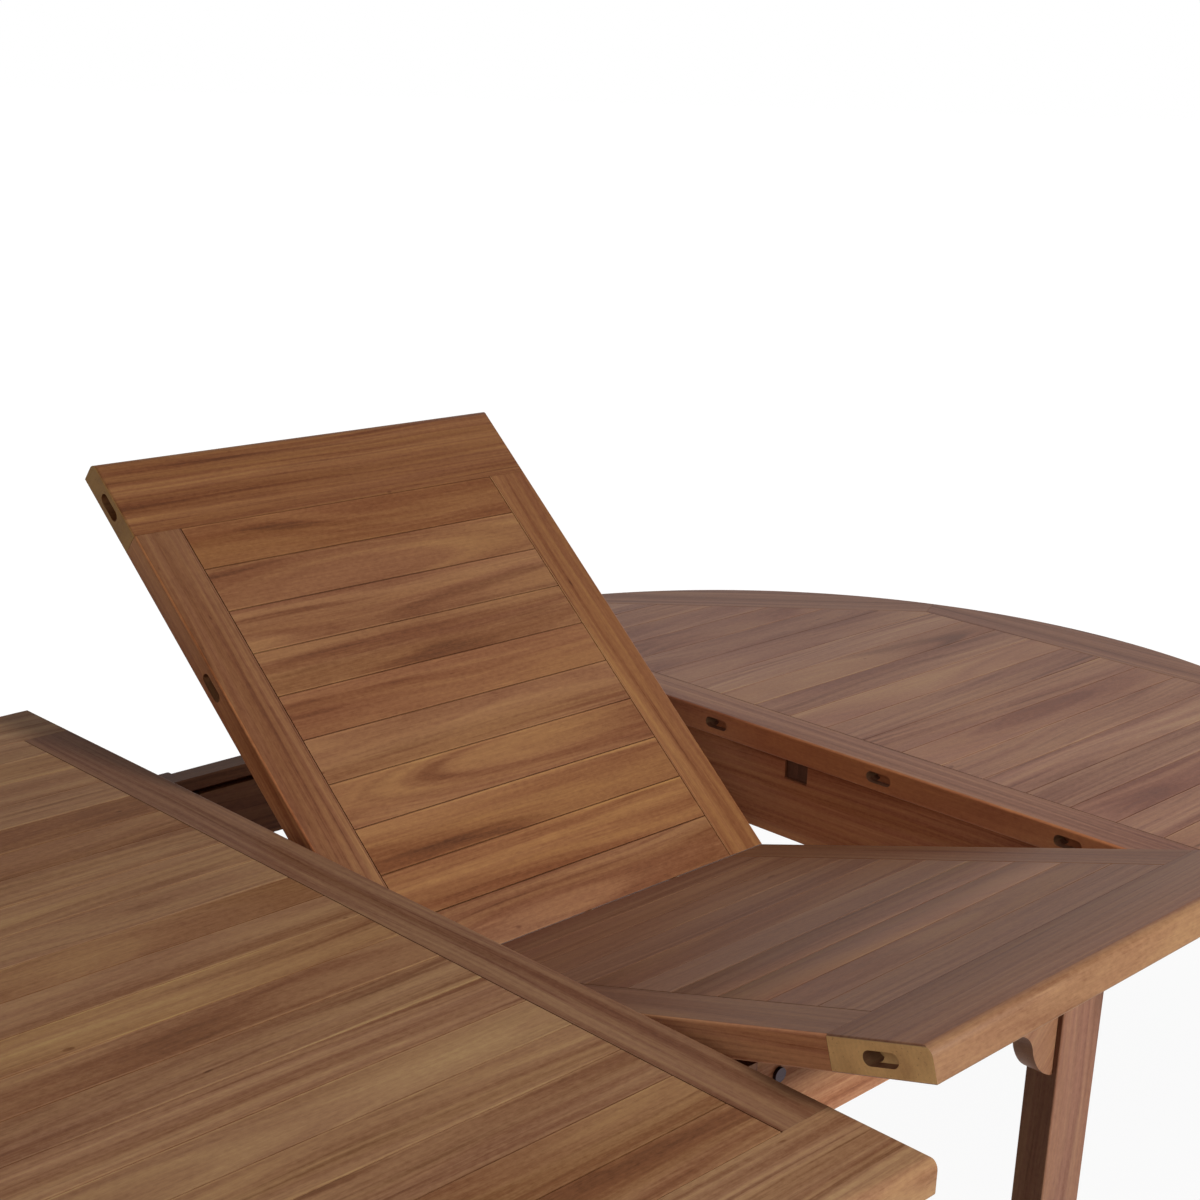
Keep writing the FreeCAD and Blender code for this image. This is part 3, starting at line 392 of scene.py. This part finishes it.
def timber(name, colour, turn=(0.0, 0.0, 0.0), origin=(0.0, 0.0, 0.0), pitch=0.0, seed=0.0,
           end_shares=DARK_SHADED_END_SHARES, side_light_shares=PLAIN_SHARES, contrast=1.2, gloss=0.08):
    """Oiled teak whose grain runs along X once the object is turned by turn about origin.

    Boards are told apart by floor(Y / pitch), and each lies in its own place in a tree. Its rings are
    circles of radius r in Y and Z round a heart line that wanders slowly along X. Broad bands and
    narrow streaks are noise in X and r, so they run with the fibres and close into long arches where
    the board touches a ring. Fibres and pores are noise stretched along X. Sawn ends show the rings.
    """
    grain = bpy.context.scene.table_grain
    material, tree = new_material(name)
    place = join(tree, "ShaderNodeTexCoord")
    turned = (Matrix.Rotation(turn[2], 3, "Z") @ Matrix.Rotation(turn[1], 3, "Y")
              @ Matrix.Rotation(turn[0], 3, "X"))
    board = join(tree, "ShaderNodeMapping", {"Vector": place.outputs["Object"], "Rotation": turn,
                                             "Location": -(turned @ Vector(origin))}).outputs[0]
    parts = join(tree, "ShaderNodeSeparateXYZ", {0: board})

    # Which board it is, and a random lot for each board
    across = parts.outputs["Y"]
    ticket = seed
    if pitch > 0.0:
        rows = sums(tree, "DIVIDE", across, pitch)
        across = sums(tree, "MULTIPLY_ADD", sums(tree, "FRACT", rows), pitch, -0.5 * pitch)
        ticket = sums(tree, "ADD", sums(tree, "FLOOR", rows), seed)
    lot = join(tree, "ShaderNodeTexWhiteNoise", {"W": ticket}, noise_dimensions="1D")
    lots = join(tree, "ShaderNodeSeparateXYZ", {0: lot.outputs["Color"]})
    own = join(tree, "ShaderNodeVectorMath",
               {0: board, 1: stretched(tree, lot.outputs["Color"], LOT_SPREAD)},
               operation="ADD").outputs[0]
    own_x = join(tree, "ShaderNodeSeparateXYZ", {0: own}).outputs["X"]

    # Distance from the heart line, which wanders
    wander = noise(tree, own, WANDER_SCALE, detail=2.0)
    waves = join(tree, "ShaderNodeSeparateXYZ", {0: wander.outputs["Color"]})
    reach = grain.heart_distance
    radial_y = swayed(tree, across, ((lots.outputs["X"], reach),
                                     (waves.outputs["X"], HEART_WANDER[0] * reach)))
    radial_z = swayed(tree, sums(tree, "ADD", parts.outputs["Z"], HEART_DEPTH * reach),
                      ((lots.outputs["Z"], HEART_DEPTH_SPREAD * reach),
                       (waves.outputs["Y"], HEART_WANDER[1] * reach)))
    radius = join(tree, "ShaderNodeVectorMath",
                  {0: join(tree, "ShaderNodeCombineXYZ", {"X": radial_y, "Y": radial_z}).outputs[0]},
                  operation="LENGTH").outputs["Value"]
    fibre = join(tree, "ShaderNodeCombineXYZ",
                 {"X": own_x, "Y": radius,
                  "Z": sums(tree, "MULTIPLY", lot.outputs["Value"], FIBRE_SPREAD)}).outputs[0]

    # Bands, streaks, fibres, pores, knots and pale flecks
    band = noise(tree, fibre, (1.2, 1.0 / grain.band_width, 1.0), detail=2.0).outputs["Fac"]
    streak = noise(tree, fibre, (2.3, 1.0 / grain.streak_width, 1.0), detail=3.0, roughness=0.6)
    streak = remap(tree, streak.outputs["Fac"], *STREAK_RANGE)
    fine = noise(tree, own, FINE_SCALE, detail=3.0, roughness=0.7).outputs["Fac"]
    grit = noise(tree, own, GRIT_SCALE, detail=3.0, roughness=0.7).outputs["Fac"]
    slow = noise(tree, own, SLOW_SCALE, detail=1.0).outputs["Fac"]
    pores = remap(tree, noise(tree, own, PORE_SCALE, detail=1.0).outputs["Fac"], *PORE_RANGE)
    knots = remap(tree, noise(tree, own, KNOT_SCALE, detail=1.0).outputs["Fac"], *KNOT_RANGE)
    flecks = remap(tree, noise(tree, own, FLECK_SCALE, detail=2.0).outputs["Fac"], *FLECK_RANGE)
    dark = noise(tree, fibre, (3.2, 0.9 / grain.streak_width, 1.0), detail=2.0)
    dark = remap(tree, dark.outputs["Fac"], *DARK_RANGE)
    weights = PATTERN_WEIGHTS
    tone = swayed(tree, PLAIN_TONE,
                  ((band, weights["band"] * contrast), (streak, weights["streak"] * contrast),
                   (slow, weights["slow"] * contrast), (fine, weights["fine"]),
                   (grit, weights["grit"]), (lot.outputs["Value"], grain.board_variation)))
    darkening = MARK_WEIGHTS["dark"] * contrast * grain.streak_strength
    for mark, weight in ((dark, darkening), (pores, MARK_WEIGHTS["pores"]),
                         (knots, MARK_WEIGHTS["knots"]), (flecks, MARK_WEIGHTS["flecks"])):
        tone = sums(tree, "MULTIPLY_ADD", mark, weight, tone)
    if pitch > 0.0:
        side = sums(tree, "ABSOLUTE", across)
        half = 0.5 * pitch
        # Painted highlight along the slats' rounded long edges, where they catch the light
        lit_edge = sums(tree, "MULTIPLY", remap(tree, side, half - LIT_EDGE_START, half - LIT_EDGE_FULL),
                    remap(tree, slow, 0.40, 0.60, 0.1, 1.0))
        tone = sums(tree, "MULTIPLY_ADD", lit_edge, grain.edge_light, tone)
        joint = remap(tree, side, half - JOINT_START, half - JOINT_FULL)
        tone = sums(tree, "MULTIPLY_ADD", joint, JOINT_WEIGHT, tone)
    sawn = ramp(tree, tone, ((0.0, scaled(colour, DEEP_SHARES)), (0.30, scaled(colour, DARK_SHARES)),
                             (0.52, scaled(colour, (1.0, 1.0, 1.0))), (0.74, scaled(colour, LIGHT_SHARES)),
                             (1.0, scaled(colour, PALE_SHARES))))
    hue = join(tree, "ShaderNodeHueSaturation",
               {"Hue": swayed(tree, 0.502, ((lots.outputs["Y"], 0.003), (streak, -0.005), (slow, 0.010))),
                "Saturation": swayed(tree, 1.02, ((lots.outputs["Z"], 0.06), (band, -0.1))),
                "Color": sawn}).outputs["Color"]

    # Sawn ends: arcs of rings, and dark pores between them
    uneven = sums(tree, "MULTIPLY_ADD", radius, 2.0 * math.pi / grain.ring_width,
                  sums(tree, "MULTIPLY", wander.outputs["Fac"], 9.0))
    rings = sums(tree, "MULTIPLY_ADD", sums(tree, "SINE", uneven), 0.5, 0.5)
    specks = noise(tree, own, END_SPECK_SCALE, detail=3.0, roughness=0.7).outputs["Fac"]
    zones = noise(tree, own, END_ZONE_SCALE, detail=2.0).outputs["Fac"]
    pits = remap(tree, noise(tree, own, END_PIT_SCALE, detail=1.0).outputs["Fac"], *PIT_RANGE)
    end_tone = swayed(tree, 0.5, ((rings, 0.07), (specks, 0.7), (zones, 2.2)))
    end_tone = sums(tree, "MULTIPLY_ADD", pits, -0.5, end_tone)
    end_colour = ramp(tree, end_tone, ((0.0, scaled(colour, end_shares[0])),
                                       (1.0, scaled(colour, end_shares[1]))))
    end_face = faces_along(tree, place, turned, (1.0, 0.0, 0.0), *END_FACING)
    side_face = faces_along(tree, place, turned, (0.0, 1.0, 0.0), *SIDE_FACING)
    # Painted light and shade: the sides of a board are multiplied by its side light shares
    mixed = join(tree, "ShaderNodeMix", {0: side_face, 6: hue, 7: tuple(side_light_shares) + (1.0,)},
                 data_type="RGBA", blend_type="MULTIPLY").outputs[2]
    mixed = join(tree, "ShaderNodeMix", {0: end_face, 6: mixed, 7: end_colour},
                 data_type="RGBA").outputs[2]

    rough = sums(tree, "MULTIPLY_ADD", fine, 0.16, grain.roughness - 0.08)
    relief = sums(tree, "MULTIPLY_ADD", pores, -0.6, sums(tree, "MULTIPLY", fine, 0.6))
    bump = join(tree, "ShaderNodeBump", {"Strength": 0.3, "Distance": 0.0003, "Height": relief})
    surface = join(tree, "ShaderNodeBsdfPrincipled",
                   {"Base Color": mixed, "Roughness": rough, "Normal": bump.outputs["Normal"],
                    "Specular IOR Level": gloss})
    join(tree, "ShaderNodeOutputMaterial", {"Surface": surface.outputs[0]})
    return material


def metal(name, colour, roughness, brushed_along):
    """Turned or pressed metal with fine brushed lines and a few duller patches."""
    material, tree = new_material(name)
    place = join(tree, "ShaderNodeTexCoord").outputs["Object"]
    lines = noise(tree, place, brushed_along, detail=2.0).outputs["Fac"]
    patches = noise(tree, place, (60.0, 60.0, 60.0), detail=3.0).outputs["Fac"]
    rough = swayed(tree, roughness, ((patches, 0.3),))
    tint = ramp(tree, lines, ((0.2, scaled(colour, (0.74, 0.74, 0.74))),
                              (0.8, scaled(colour, (1.15, 1.15, 1.15)))))
    bump = join(tree, "ShaderNodeBump", {"Strength": 0.2, "Distance": 0.0001, "Height": lines})
    surface = join(tree, "ShaderNodeBsdfPrincipled",
                   {"Base Color": tint, "Metallic": 1.0, "Roughness": rough,
                    "Normal": bump.outputs["Normal"]})
    join(tree, "ShaderNodeOutputMaterial", {"Surface": surface.outputs[0]})
    return material


def moulded(name, colour):
    """Moulded plastic with a fine matt texture."""
    material, tree = new_material(name)
    place = join(tree, "ShaderNodeTexCoord").outputs["Object"]
    pits = noise(tree, place, (1200.0, 1200.0, 1200.0), detail=1.0).outputs["Fac"]
    tint = ramp(tree, pits, ((0.0, scaled(colour, (0.8, 0.8, 0.8))),
                             (1.0, scaled(colour, (1.4, 1.4, 1.4)))))
    bump = join(tree, "ShaderNodeBump", {"Strength": 0.3, "Distance": 0.0001, "Height": pits})
    surface = join(tree, "ShaderNodeBsdfPrincipled",
                   {"Base Color": tint, "Roughness": 0.55, "Normal": bump.outputs["Normal"]})
    join(tree, "ShaderNodeOutputMaterial", {"Surface": surface.outputs[0]})
    return material


def dress(node, material):
    """Gives a CAD node a material of this file and leaves its shape alone."""
    slots = frame["nodes"][node].data.materials
    slots.clear()
    slots.append(material)


def softened(node, body, width, material):
    """A copy of a CAD node whose sharp edges are rounded over by width."""
    source = frame["nodes"][node].data
    shape = bmesh.new()
    shape.from_mesh(source)
    bmesh.ops.remove_doubles(shape, verts=shape.verts, dist=MERGE_DISTANCE)
    bmesh.ops.dissolve_limit(shape, angle_limit=FLAT_ANGLE, verts=shape.verts, edges=shape.edges)
    mesh = bpy.data.meshes.new(node + "_softened")
    shape.to_mesh(mesh)
    shape.free()
    mesh.materials.append(material)
    piece = bpy.data.objects.new(node + "_softened", mesh)
    bpy.context.scene.collection.objects.link(piece)
    bevel = piece.modifiers.new("edges", "BEVEL")
    bevel.width = width
    bevel.segments = EDGE_SEGMENTS
    bevel.limit_method = "ANGLE"
    bevel.angle_limit = SHARP_ANGLE
    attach(piece, body)
    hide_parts(node)
    return piece


def eighths(count):
    """An angle of so many eighths of a turn, in radians."""
    return math.radians(45.0) * count


class TABLE_OT_half_tops(bpy.types.Operator):
    """Dresses both half tops: slats, inner rails, rim boards, runners and battens"""
    bl_idname = "table.half_tops"
    bl_label = "Half tops"

    def execute(self, context):
        colours = context.scene.table_timber
        edges = context.scene.table_edges
        grain_turns = {"inner_rail": 2, "near_rim": 0, "far_rim": 0, "end_rim": 2}
        for side, colour, corner, slot in (("left_top", colours.left_top, 1, "teak_left"),
                                           ("right_top", colours.right_top, -1, "teak_right")):
            look = {"origin": TOP_ORIGIN, "contrast": CONTRAST[side], "gloss": GLOSS[side]}
            slats = timber(side + " slats", colour, pitch=edges.top_pitch, seed=SLAT_SEED[side], **look)
            softened(side + "_slats", side, edges.slat_edge, slats)
            turns = dict(grain_turns, near_corner_rim=corner, far_corner_rim=-corner)
            for number, (piece, steps) in enumerate(turns.items()):
                shares = RAIL_SHARES if piece == "inner_rail" else RIM_SHARES
                node = side + "_" + piece
                boards = timber(node, scaled(colour, shares[side])[:3], turn=(0.0, 0.0, eighths(steps)),
                                seed=TOP_RIM_SEED * corner + number, end_shares=BARE_END_SHARES,
                                side_light_shares=SIDE_LIGHT_SHARES.get(node, PLAIN_SHARES), **look)
                softened(node, side, edges.board_edge, boards)
            battens = timber(side + " battens", colour, turn=(0.0, 0.0, eighths(2)), origin=TOP_ORIGIN,
                             pitch=TOP_BATTEN_PITCH, seed=TOP_BATTEN_SEED)
            dress(side + "_battens", battens)
            runners = timber(side + " runners", scaled(colour, RUNNER_SHARES)[:3], origin=TOP_ORIGIN,
                             pitch=RUNNER_PITCH, seed=RUNNER_SEED)
            dress(side + "_runners", runners)
        return {"FINISHED"}


class TABLE_OT_leaf_panels(bpy.types.Operator):
    """Dresses both panels of the leaf: slats, stiles, outer rim boards and battens"""
    bl_idname = "table.leaf_panels"
    bl_label = "Leaf panels"

    def execute(self, context):
        colours = context.scene.table_timber
        edges = context.scene.table_edges
        near_turn = math.radians(LEAF_TILT)
        far_turn = math.radians(LEAF_TILT - LEAF_FOLD)
        for side, colour, tilt, slot in (("near_leaf", colours.near_leaf, near_turn, "teak_near_leaf"),
                                         ("far_leaf", colours.far_leaf, far_turn, "teak_far_leaf")):
            seed = SLAT_SEED[side]
            along = (tilt, 0.0, 0.0)
            look = {"origin": HINGE, "contrast": CONTRAST[side], "gloss": GLOSS[side]}
            slats = timber(side + " slats", colour, turn=along, pitch=edges.leaf_pitch, seed=seed, **look)
            softened(side + "_slats", side, edges.slat_edge, slats)
            # Painted light: the rim's sawn ends are brightened where light from the side falls on them
            ends = [scaled(shares, END_LIGHT_GAIN[side], END_LIGHT_LIMIT)[:3] for shares in BARE_END_SHARES]
            rim = timber(side + " rim", scaled(colour, RIM_SHARES[side])[:3], turn=along,
                         seed=seed + LEAF_RIM_STEP, end_shares=ends,
                         side_light_shares=SIDE_LIGHT_SHARES.get(side + "_rim", PLAIN_SHARES), **look)
            softened(side + "_rim", side, edges.board_edge, rim)
            stiles = timber(side + " stiles", scaled(colour, STILE_SHARES[side])[:3],
                            turn=(tilt, 0.0, eighths(2)), pitch=STILE_PITCH, seed=seed + LEAF_STILE_STEP,
                            side_light_shares=SIDE_LIGHT_SHARES[side + "_stiles"], **look)
            softened(side + "_stiles", side, edges.board_edge, stiles)
            battens = timber(side + " battens", colour, turn=(tilt, 0.0, eighths(2)), origin=HINGE,
                             pitch=LEAF_BATTEN_PITCH, seed=seed + LEAF_BATTEN_STEP)
            dress(side + "_battens", battens)
        return {"FINISHED"}


class TABLE_OT_underframe(bpy.types.Operator):
    """Dresses the aprons, the legs and their brackets"""
    bl_idname = "table.underframe"
    bl_label = "Underframe"

    def execute(self, context):
        colour = context.scene.table_timber.underframe
        edge = context.scene.table_edges.frame_edge
        for number, node in enumerate(("near_side_apron", "far_side_apron")):
            softened(node, "frame", edge,
                     timber(node, scaled(colour, APRON_LIGHT_SHADE_SHARES[node])[:3], seed=SIDE_APRON_SEED + number))
        for number, node in enumerate(("left_end_apron", "right_end_apron")):
            softened(node, "frame", edge,
                     timber(node, scaled(colour, APRON_LIGHT_SHADE_SHARES[node])[:3], turn=(0.0, 0.0, eighths(2)),
                            seed=END_APRON_SEED + number))
        corners = ("left_near", "left_far", "right_near", "right_far")
        for number, corner in enumerate(corners):
            softened(corner + "_leg", "frame", edge / 3.0,
                     timber(corner + " leg", scaled(colour, LEG_TONE_AND_SHADE_SHARES)[:3], turn=(0.0, eighths(2), 0.0),
                            seed=LEG_SEED + number, side_light_shares=LEG_SIDE_LIGHT_SHARES, contrast=0.9))
        softened("leg_brackets", "frame", edge,
                 timber("brackets", scaled(colour, BRACKET_SHARES)[:3], turn=(0.0, eighths(1), 0.0),
                        pitch=BRACKET_PITCH, seed=BRACKET_SEED, contrast=0.8))
        return {"FINISHED"}


class TABLE_OT_hardware(bpy.types.Operator):
    """Dresses keys, splines, guides, hinges, pivots, screws, bolts and glides"""
    bl_idname = "table.hardware"
    bl_label = "Hardware"

    def execute(self, context):
        colours = context.scene.table_hardware
        # Steel darkened partly as painted shade of the bolt heads under the leaf
        steel = metal("bright steel", colours.steel, 0.34, (40.0, 900.0, 900.0))
        brass = metal("brass", colours.brass, 0.36, (900.0, 60.0, 900.0))
        glide = moulded("black glides", colours.glide)
        keys = timber("hardwood keys", context.scene.table_timber.hardwood, turn=(0.0, 0.0, eighths(2)),
                      pitch=KEY_PITCH, seed=KEY_SEED)
        finishes = {"steel": steel, "brass": brass, "glide": glide, "hardwood": keys}
        for part in frame["record"]["subparts"]:
            if part["material_slot"] in finishes:
                dress(part["node"], finishes[part["material_slot"]])
        return {"FINISHED"}


def seen_directly(tree):
    """1 for what the camera sees, straight or in a mirror or glass, and 0 for light on the object."""
    rays = join(tree, "ShaderNodeLightPath")
    return sums(tree, "MAXIMUM", rays.outputs["Is Camera Ray"],
                sums(tree, "MAXIMUM", rays.outputs["Is Glossy Ray"], rays.outputs["Is Transmission Ray"]))


def floor_finish(colour, shadow_share):
    """A pale floor that the camera sees as white, with the table's shadow on it."""
    material, tree = new_material("pale floor")
    place = join(tree, "ShaderNodeTexCoord").outputs["Object"]
    distance = join(tree, "ShaderNodeVectorMath", {0: place}, operation="LENGTH").outputs["Value"]
    whiteness = remap(tree, distance, FLOOR_FADE_START, FLOOR_FADE_END, 1.0 - shadow_share, 1.0)
    matt = join(tree, "ShaderNodeBsdfDiffuse", {"Color": tuple(colour) + (1.0,)})
    white = join(tree, "ShaderNodeEmission", {"Color": (1.0, 1.0, 1.0, 1.0), "Strength": FLOOR_WHITE})
    mix = join(tree, "ShaderNodeMixShader",
               {0: sums(tree, "MULTIPLY", seen_directly(tree), whiteness),
                1: matt.outputs[0], 2: white.outputs[0]})
    join(tree, "ShaderNodeOutputMaterial", {"Surface": mix.outputs[0]})
    return material


def pale_world(level):
    """Even light from all round, seen by the camera and in reflections as white."""
    world = bpy.data.worlds.new("pale surroundings")
    bpy.context.scene.world = world
    world.use_nodes = True
    tree = world.node_tree
    tree.nodes.clear()
    soft = join(tree, "ShaderNodeBackground", {"Color": (1.0, 1.0, 1.0, 1.0), "Strength": level})
    white = join(tree, "ShaderNodeBackground", {"Color": (1.0, 1.0, 1.0, 1.0), "Strength": 1.0})
    mix = join(tree, "ShaderNodeMixShader", {0: seen_directly(tree), 1: soft.outputs[0], 2: white.outputs[0]})
    join(tree, "ShaderNodeOutputWorld", {"Surface": mix.outputs[0]})


def soft_light(name, place, power, size, mirrored=True):
    """A square lamp that faces LIGHT_TARGET; the object mirrors it only if mirrored is true."""
    light = bpy.data.lights.new(name, "AREA")
    light.energy = power
    light.size = size
    lamp = bpy.data.objects.new(name, light)
    lamp.visible_camera = False
    lamp.visible_glossy = mirrored
    lamp.location = place
    towards = Vector(LIGHT_TARGET) - Vector(place)
    lamp.rotation_euler = towards.to_track_quat("-Z", "Y").to_euler()
    bpy.context.scene.collection.objects.link(lamp)


def photo_camera():
    """The camera that took the photograph, from its fitted place, directions and optical centre."""
    forward = Vector((math.cos(CAMERA_PITCH) * math.sin(CAMERA_AZIMUTH),
                      math.cos(CAMERA_PITCH) * math.cos(CAMERA_AZIMUTH), -math.sin(CAMERA_PITCH)))
    level = forward.cross(Vector((0.0, 0.0, 1.0))).normalized()
    down = forward.cross(level)
    right = level * math.cos(CAMERA_ROLL) + down * math.sin(CAMERA_ROLL)
    up = level * math.sin(CAMERA_ROLL) - down * math.cos(CAMERA_ROLL)
    data = bpy.data.cameras.new("photo camera")
    data.sensor_fit = "HORIZONTAL"
    data.sensor_width = SENSOR_MM
    data.lens = FOCAL_PX / PHOTO_SIZE_PX * SENSOR_MM
    data.shift_x = 0.5 - CENTRE_X_PX / PHOTO_SIZE_PX
    data.shift_y = CENTRE_Y_PX / PHOTO_SIZE_PX - 0.5
    data.clip_end = VIEW_DISTANCE
    camera = bpy.data.objects.new("photo camera", data)
    turned = Matrix((right, up, -forward)).transposed().to_4x4()
    camera.matrix_world = Matrix.Translation(CAMERA_PLACE) @ turned
    bpy.context.scene.collection.objects.link(camera)
    bpy.context.scene.camera = camera


class TABLE_OT_stage(bpy.types.Operator):
    """Sets up the floor, the light and the photograph's camera"""
    bl_idname = "table.stage"
    bl_label = "Floor, light and camera"

    def execute(self, context):
        settings = context.scene.table_stage
        # The floor is a disc: x = r cos a, y = r sin a, z = 0
        turns = np.linspace(0.0, 2.0 * math.pi, FLOOR_SIDES, endpoint=False)
        rim = np.stack((np.cos(turns), np.sin(turns), np.zeros_like(turns)), axis=1)
        rim = rim * settings.floor_radius
        mesh = bpy.data.meshes.new("floor")
        mesh.from_pydata(rim.tolist(), [], [list(range(len(rim)))])
        mesh.materials.append(floor_finish(settings.floor_colour, settings.shadow_share))
        floor = bpy.data.objects.new("floor", mesh)
        context.scene.collection.objects.link(floor)
        pale_world(settings.world_level)
        soft_light("main light", settings.lamp_place, settings.lamp_power, settings.lamp_size)
        soft_light("second light", settings.fill_place, settings.fill_power, settings.fill_size)
        soft_light("back light", settings.back_place, settings.back_power, settings.back_size,
                   mirrored=False)
        photo_camera()
        context.scene.view_settings.view_transform = "Standard"
        return {"FINISHED"}


class TABLE_PT_sidebar(bpy.types.Panel):
    bl_label = "Table"
    bl_idname = "TABLE_PT_sidebar"
    bl_space_type = "VIEW_3D"
    bl_region_type = "UI"
    bl_category = "Table"

    def draw(self, context):
        layout = self.layout
        scene = context.scene
        for settings in (scene.table_timber, scene.table_grain, scene.table_edges, scene.table_hardware,
                         scene.table_stage):
            box = layout.box()
            for key in settings.__annotations__:
                box.prop(settings, key)
        for operator in OPERATORS:
            layout.operator(operator.bl_idname)


OPERATORS = (TABLE_OT_half_tops, TABLE_OT_leaf_panels, TABLE_OT_underframe, TABLE_OT_hardware,
             TABLE_OT_stage)
SETTINGS = {"table_timber": TimberColours, "table_grain": TimberGrain, "table_edges": BoardEdges,
            "table_hardware": HardwareColours, "table_stage": StageSettings}


def register():
    for kind in tuple(SETTINGS.values()) + OPERATORS + (TABLE_PT_sidebar,):
        bpy.utils.register_class(kind)
    for name, kind in SETTINGS.items():
        setattr(bpy.types.Scene, name, bpy.props.PointerProperty(type=kind))


def unregister():
    for name in SETTINGS:
        delattr(bpy.types.Scene, name)
    for kind in (TABLE_PT_sidebar,) + OPERATORS + tuple(SETTINGS.values()):
        bpy.utils.unregister_class(kind)


def main():
    register()
    bpy.ops.table.half_tops()
    bpy.ops.table.leaf_panels()
    bpy.ops.table.underframe()
    bpy.ops.table.hardware()
    bpy.ops.table.stage()


if __name__ == "__main__":
    main()
